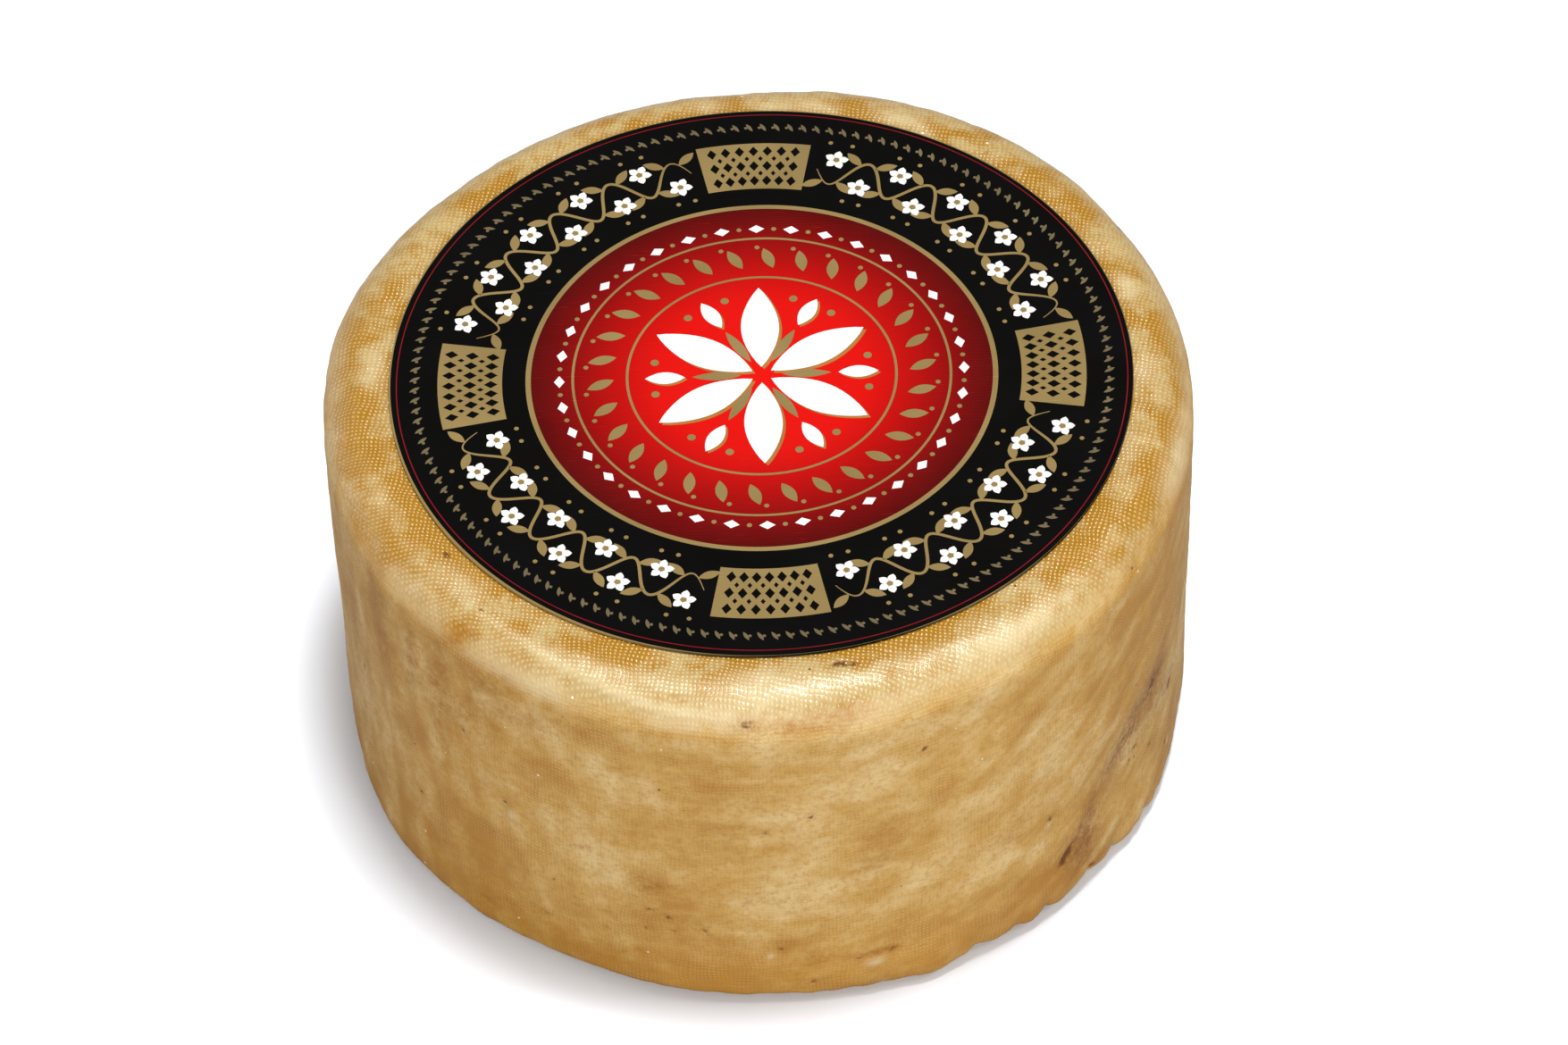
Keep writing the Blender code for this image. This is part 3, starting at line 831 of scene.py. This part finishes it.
def label_card_mesh():
    """The card's cut outline turned about its middle, with an ink for each printed ring."""
    turns = [math.tau * step / CARD_STEPS for step in range(CARD_STEPS)]
    rounding = LABEL_RADIUS - CARD_EDGE_ROUND
    outline = [(PRINT_MIDDLE, [radius * MM] * CARD_STEPS, CARD_TOP, ink) for radius, ink in CARD_RINGS]
    outline.append((CARD_MIDDLE, [rounding - border_width(turn) for turn in turns], CARD_TOP, "black_field"))
    outline.append((CARD_MIDDLE, [rounding] * CARD_STEPS, CARD_TOP, "gold_ink"))
    for angle in (30, 60, 90):
        reach = rounding + CARD_EDGE_ROUND * math.sin(math.radians(angle))
        height = CARD_TOP - CARD_EDGE_ROUND * (1 - math.cos(math.radians(angle)))
        outline.append((CARD_MIDDLE, [reach] * CARD_STEPS, height, "cut_edge"))
    outline.append((CARD_MIDDLE, [LABEL_RADIUS] * CARD_STEPS, CARD_BOTTOM, "cut_edge"))
    names = list(inks)
    card = bmesh.new()
    loops = [
        [
            card.verts.new((middle.x + radius * math.cos(turn), middle.y + radius * math.sin(turn), height))
            for turn, radius in zip(turns, radii)
        ]
        for middle, radii, height, _ in outline
    ]
    top_middle = card.verts.new((PRINT_MIDDLE.x, PRINT_MIDDLE.y, CARD_TOP))
    card.faces.new(list(reversed(loops[-1]))).material_index = names.index("gold_ink")
    for step in range(CARD_STEPS):
        beside = (step + 1) % CARD_STEPS
        middle_face = card.faces.new((top_middle, loops[0][step], loops[0][beside]))
        middle_face.material_index = names.index(outline[0][3])
        for inside, outside, ring in zip(loops, loops[1:], outline[1:]):
            face = card.faces.new((inside[step], outside[step], outside[beside], inside[beside]))
            face.material_index = names.index(ring[3])
    mesh = bpy.data.meshes.new("label_card")
    card.to_mesh(mesh)
    card.free()
    bordered = []
    for point in mesh.vertices:
        way = point.co - CARD_MIDDLE
        width = border_width(math.atan2(way.y, way.x)) / MM
        share = (width - EDGE_GOLD_FROM) / (EDGE_GOLD_FULL - EDGE_GOLD_FROM)
        bordered.append(min(max(share, 0.0), 1.0))
    mesh.attributes.new("bordered", "FLOAT", "POINT").data.foreach_set("value", bordered)
    for ink in names:
        mesh.materials.append(inks[ink])
    mesh.shade_smooth()
    mesh.set_sharp_from_angle(angle=math.radians(50))
    return mesh


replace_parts(add_label_piece("label_card", label_card_mesh()), "label")


# The ornament is printed over the fields: a running vine with white blossoms and four lattice panels in the
# black ring, a fine beaded border outside it, and a six-petalled rosette within rings of leaves on the red.
def pointed_leaf(length, width, steps=9):
    """A leaf from the origin along X, pointed at both ends, in mm."""
    shares = [step / steps for step in range(steps + 1)]
    upper = [(length * share, width / 2 * math.sin(math.pi * share) ** 0.85) for share in shares]
    return upper + [(x, -y) for x, y in reversed(upper[1:-1])]


def disc(radius, steps=14):
    """A round dot about the origin, in mm."""
    turns = [math.tau * step / steps for step in range(steps)]
    return [(radius * math.cos(turn), radius * math.sin(turn)) for turn in turns]


def lozenge(length, width):
    """A lozenge about the origin with its length along X, in mm."""
    return [(length / 2, 0), (0, width / 2), (-length / 2, 0), (0, -width / 2)]


def moved(shape, x, y, turn=0.0):
    """The shape turned by that many radians and then moved."""
    cosine = math.cos(turn)
    sine = math.sin(turn)
    return [(x + a * cosine - b * sine, y + a * sine + b * cosine) for a, b in shape]


def round_the_ring(shape, radius, angle, turn=0.0):
    """The shape moved out to that radius and angle, with its X axis pointing outwards before it is turned."""
    return moved(shape, radius * math.cos(angle), radius * math.sin(angle), angle + turn)


def ribbon(points, width):
    """A band of that width along the points, tapered to both ends."""
    left, right = [], []
    for index, (x, y) in enumerate(points):
        before = points[max(index - 1, 0)]
        after = points[min(index + 1, len(points) - 1)]
        way = Vector((after[0] - before[0], after[1] - before[1])).normalized()
        share = index / (len(points) - 1)
        half = width / 2 * min(1.0, 0.25 + 6 * min(share, 1 - share))
        left.append((x - way.y * half, y + way.x * half))
        right.append((x + way.y * half, y - way.x * half))
    return right + left[::-1]


def arc_band(radius, depth, first, last, steps):
    """A band of that depth along a ring, from the first angle to the last."""
    turns = [first + (last - first) * step / steps for step in range(steps + 1)]
    inner_side, outer_side = (
        [(edge * math.cos(turn), edge * math.sin(turn)) for turn in turns]
        for edge in (radius - depth / 2, radius + depth / 2)
    )
    return inner_side[::-1] + outer_side


# How far the ink reaches down into the card, and how high each layer stands. Neighbouring shapes of a layer
# differ a little in height, so that their tops never lie in one plane where they overlap.
INK_SINK = 0.01 * MM
INK_LAYER = 0.016 * MM
INK_OVERLAP_STEP = 0.0015 * MM


def print_shapes(name, ink, outlines, layer):
    """Prints flat outlines, in mm from the print's middle, as one piece of ink. Later layers stand higher."""
    low = CARD_TOP - INK_SINK
    points, faces = [], []
    for index, outline in enumerate(outlines):
        first = len(points)
        count = len(outline)
        high = CARD_TOP + INK_LAYER * (layer + 1) + INK_OVERLAP_STEP * (index % 7)
        for height in (low, high):
            points += [(PRINT_MIDDLE.x + x * MM, PRINT_MIDDLE.y + y * MM, height) for x, y in outline]
        faces.append(tuple(range(first + count, first + 2 * count)))
        faces.append(tuple(reversed(range(first, first + count))))
        for step in range(count):
            beside = (step + 1) % count
            faces.append((first + step, first + beside, first + count + beside, first + count + step))
    mesh = bpy.data.meshes.new(name)
    mesh.from_pydata(points, [], faces)
    mesh.materials.append(inks[ink])
    return add_label_piece(name, mesh)


# The vine runs through four spans between the panels. All sizes are in mm and all angles in radians.
VINE_RADIUS = 65.5
VINE_SWING = 4.3
VINE_WAVES = 5
VINE_WIDTH = 0.75
SPAN_REACH = math.radians(32.3)
SPAN_MIDDLES = [math.radians(45 + 90 * quarter) for quarter in range(4)]
PANEL_MIDDLES = [math.radians(-90 + 90 * quarter) for quarter in range(4)]
BLOSSOM_PETALS = 5
PETAL = pointed_leaf(2.5, 1.9, 7)
PETAL_START = 0.35
BLOSSOM_EYE = disc(0.75, 10)
BLOSSOM_OFFSET = 3.6
BERRY = disc(0.55, 10)
BERRY_OFFSET = 5.1
BERRY_SPREAD = 0.035
VINE_LEAF = pointed_leaf(5.2, 2.2)
LEAF_SPREAD = 0.022
LEAF_TURN = 1.0


def vine_point(middle, share):
    """A point of the vine in the span about that angle. The share runs from 0 to 1 along the span."""
    angle = middle + (2 * share - 1) * SPAN_REACH
    radius = VINE_RADIUS + VINE_SWING * math.sin(math.tau * VINE_WAVES * share)
    return radius * math.cos(angle), radius * math.sin(angle)


gold_shapes, white_shapes, dim_shapes, eye_shapes = [], [], [], []
for middle in SPAN_MIDDLES:
    gold_shapes.append(ribbon([vine_point(middle, step / 160) for step in range(161)], VINE_WIDTH))
    for wave in range(VINE_WAVES * 2):
        share = (wave + 0.5) / (VINE_WAVES * 2)
        angle = middle + (2 * share - 1) * SPAN_REACH
        outwards = 1 if wave % 2 == 0 else -1
        hollow = VINE_RADIUS - outwards * BLOSSOM_OFFSET
        for petal in range(BLOSSOM_PETALS):
            petal_turn = math.tau * petal / BLOSSOM_PETALS
            white_shapes.append(moved(
                PETAL,
                hollow * math.cos(angle) + PETAL_START * math.cos(petal_turn),
                hollow * math.sin(angle) + PETAL_START * math.sin(petal_turn),
                petal_turn,
            ))
        eye_shapes.append(round_the_ring(BLOSSOM_EYE, hollow, angle))
        for side in (1, -1):
            berry_angle = angle + side * BERRY_SPREAD
            gold_shapes.append(round_the_ring(BERRY, hollow - outwards * BERRY_OFFSET, berry_angle))
        away = angle if outwards > 0 else angle + math.pi
        for side in (-1, 1):
            stem = vine_point(middle, share + side * outwards * LEAF_SPREAD)
            gold_shapes.append(moved(VINE_LEAF, *stem, away + side * LEAF_TURN))

# Each panel is a gold ground with rows of large and small lozenges on it by turns
PANEL_LENGTH = 24.0
PANEL_DEPTH = 14.5
LATTICE_ROWS = 5
LATTICE_STEP = 3.0
LATTICE_ROW_STEP = 2.35
LARGE_LOZENGE = lozenge(3.1, 2.2)
SMALL_LOZENGE = lozenge(1.6, 1.1)
panel_shapes = []
for middle in PANEL_MIDDLES:
    half_turn = PANEL_LENGTH / 2 / VINE_RADIUS
    gold_shapes.append(arc_band(VINE_RADIUS, PANEL_DEPTH, middle - half_turn, middle + half_turn, 12))
    for row in range(LATTICE_ROWS):
        count = 7 if row % 2 == 0 else 6
        row_radius = VINE_RADIUS + (row - LATTICE_ROWS // 2) * LATTICE_ROW_STEP
        for column in range(count):
            along = (column - (count - 1) / 2) * LATTICE_STEP
            shape = LARGE_LOZENGE if row % 2 == 0 else SMALL_LOZENGE
            panel_shapes.append(round_the_ring(shape, row_radius, middle + along / VINE_RADIUS))

# The border is a ring of slanting leaves with a bead beyond each gap
BORDER_RADIUS = 77.8
BORDER_LEAVES = 156
BORDER_LEAF = pointed_leaf(2.8, 0.9, 5)
BORDER_LEAF_START = BORDER_RADIUS - 1.1
BORDER_LEAF_TURN = 0.55
BORDER_BEAD = disc(0.4, 8)
for leaf in range(BORDER_LEAVES):
    angle = math.tau * leaf / BORDER_LEAVES
    dim_shapes.append(round_the_ring(BORDER_LEAF, BORDER_LEAF_START, angle, BORDER_LEAF_TURN))
    dim_shapes.append(round_the_ring(BORDER_BEAD, BORDER_RADIUS, angle + math.pi / BORDER_LEAVES))

# The rosette's petals each have a shade to their lower right, as if they stood off the card. Each shape is
# followed by the radius at which it starts.
ROSETTE_PETALS = 6
LONG_PETAL = (pointed_leaf(24.5, 8.6, 15), 2.4)
SHORT_PETAL = (pointed_leaf(9.0, 3.6, 9), 17.2)
SEPAL = (pointed_leaf(11.0, 2.4, 9), 4.6)
SEED = (disc(0.95), 24.4)
SEED_SPREAD = 0.2
LONG_SHADE = (0.65, -0.75)
SHORT_SHADE = (0.5, -0.6)
rosette_shapes, shade_shapes = [], []
for petal in range(ROSETTE_PETALS):
    angle = math.tau * petal / ROSETTE_PETALS + math.pi / 2
    between = angle + math.pi / ROSETTE_PETALS
    long_petal = round_the_ring(*LONG_PETAL, angle)
    short_petal = round_the_ring(*SHORT_PETAL, between)
    rosette_shapes += [long_petal, short_petal]
    shade_shapes += [moved(long_petal, *LONG_SHADE), moved(short_petal, *SHORT_SHADE)]
    gold_shapes.append(round_the_ring(*SEPAL, between))
    for side in (-1, 1):
        gold_shapes.append(round_the_ring(*SEED, between + side * SEED_SPREAD))

# A wreath of leaves and a ring of lozenges go round it, with beads between and a fine gold ring inside each
WREATH_LEAVES = 30
WREATH_LEAF = pointed_leaf(6.6, 2.7, 7)
WREATH_START = 33.2
WREATH_TURN = 0.42
WREATH_BEADS_RADIUS = 39.6
RING_LOZENGES = 36
RING_LOZENGE = lozenge(2.4, 3.6)
RING_RADIUS = 45.4
RING_BEAD = disc(0.6, 8)
FINE_RINGS = (30.2, 42.4)
FINE_RING_WIDTH = 0.6
for leaf in range(WREATH_LEAVES):
    angle = math.tau * leaf / WREATH_LEAVES
    gold_shapes.append(round_the_ring(WREATH_LEAF, WREATH_START, angle, WREATH_TURN))
    gold_shapes.append(round_the_ring(RING_BEAD, WREATH_BEADS_RADIUS, angle + math.pi / WREATH_LEAVES))
for mark in range(RING_LOZENGES):
    angle = math.tau * mark / RING_LOZENGES
    white_shapes.append(round_the_ring(RING_LOZENGE, RING_RADIUS, angle))
    gold_shapes.append(round_the_ring(RING_BEAD, RING_RADIUS, angle + math.pi / RING_LOZENGES))
for radius in FINE_RINGS:
    for quarter in range(4):
        start = math.tau * quarter / 4
        gold_shapes.append(arc_band(radius, FINE_RING_WIDTH, start, start + math.tau / 4, 30))

print_shapes("gold_ornament", "gold_ink", gold_shapes, layer=0)
print_shapes("bead_border", "dim_gold_ink", dim_shapes, layer=0)
print_shapes("rosette_shade", "shade_ink", shade_shapes, layer=0)
print_shapes("panel_lattice", "black_field", panel_shapes, layer=1)
print_shapes("rosette", "white_ink", rosette_shapes, layer=1)
print_shapes("blossoms", "white_ink", white_shapes, layer=1)
print_shapes("blossom_eyes", "gold_ink", eye_shapes, layer=2)


# The table is a sheet of white board, so large that its edge is never seen. It throws back less light than it
# shows, so the foot of the wall stays as dark as it is in the photograph.
FLOOR_REACH = 12.0
BOARD_WHITES = ((0.90, 0.94, 1.0, 1.0), (0.92, 0.95, 1.0, 1.0))
BOARD_BOUNCE = (0.36, 0.36, 0.36, 1.0)

floor_mesh = bmesh.new()
bmesh.ops.create_circle(floor_mesh, cap_ends=True, segments=96, radius=FLOOR_REACH)
floor_data = bpy.data.meshes.new("floor")
floor_mesh.to_mesh(floor_data)
floor_mesh.free()
floor = bpy.data.objects.new("floor", floor_data)
bpy.context.scene.collection.objects.link(floor)
floor_material, floor_tree, floor_shader, floor_place = new_material("white_board")
floor_tone = stretched(floor_tree, blotches(floor_tree, floor_place, 400, 2.0), 0.3, 0.7)
board = blended(floor_tree, floor_tone, *BOARD_WHITES)
seen_floor = add_node(floor_tree, "ShaderNodeLightPath").outputs["Is Camera Ray"]
board = blended(floor_tree, seen_floor, BOARD_BOUNCE, board)
floor_tree.links.new(board, floor_shader.inputs["Base Color"])
floor_shader.inputs["Roughness"].default_value = 0.7
floor_data.materials.append(floor_material)


# The main light is a soft box straight overhead and a touch to the right. A wider, weaker one in front lights
# the wall, smaller ones to the left and right soften its sides and the shadow, and the room is plain white.
ROOM_LIGHT = 0.34


def soft_box(name, azimuth, elevation, distance, size, power):
    """A square lamp that faces the wheel from that side."""
    lamp = bpy.data.lights.new(name, "AREA")
    lamp.shape = "SQUARE"
    lamp.size = size
    lamp.energy = power
    way = Vector((
        math.cos(math.radians(elevation)) * math.cos(math.radians(azimuth)),
        math.cos(math.radians(elevation)) * math.sin(math.radians(azimuth)),
        math.sin(math.radians(elevation)),
    ))
    box = bpy.data.objects.new(name, lamp)
    box.location = wheel_middle + way * distance
    box.rotation_euler = way.to_track_quat("Z", "Y").to_euler()
    bpy.context.scene.collection.objects.link(box)


soft_box("overhead_box", azimuth=26, elevation=84.6, distance=6.0, size=1.12, power=296)
soft_box("front_box", azimuth=-84, elevation=23, distance=1.7, size=1.5, power=19.8)
soft_box("left_box", azimuth=158, elevation=13, distance=1.7, size=0.7, power=4.2)
soft_box("right_box", azimuth=-10, elevation=46, distance=1.5, size=0.22, power=2.5)

room = bpy.data.worlds.new("white_room")
room.use_nodes = True
bpy.context.scene.world = room
seen = add_node(room.node_tree, "ShaderNodeLightPath").outputs["Is Camera Ray"]
room_light = worked_out(room.node_tree, "MULTIPLY_ADD", seen, 1 - ROOM_LIGHT, ROOM_LIGHT)
room.node_tree.links.new(room_light, room.node_tree.nodes["Background"].inputs["Strength"])
room.node_tree.nodes["Background"].inputs["Color"].default_value = (1.0, 1.0, 1.0, 1.0)
bpy.context.scene.view_settings.view_transform = "Standard"
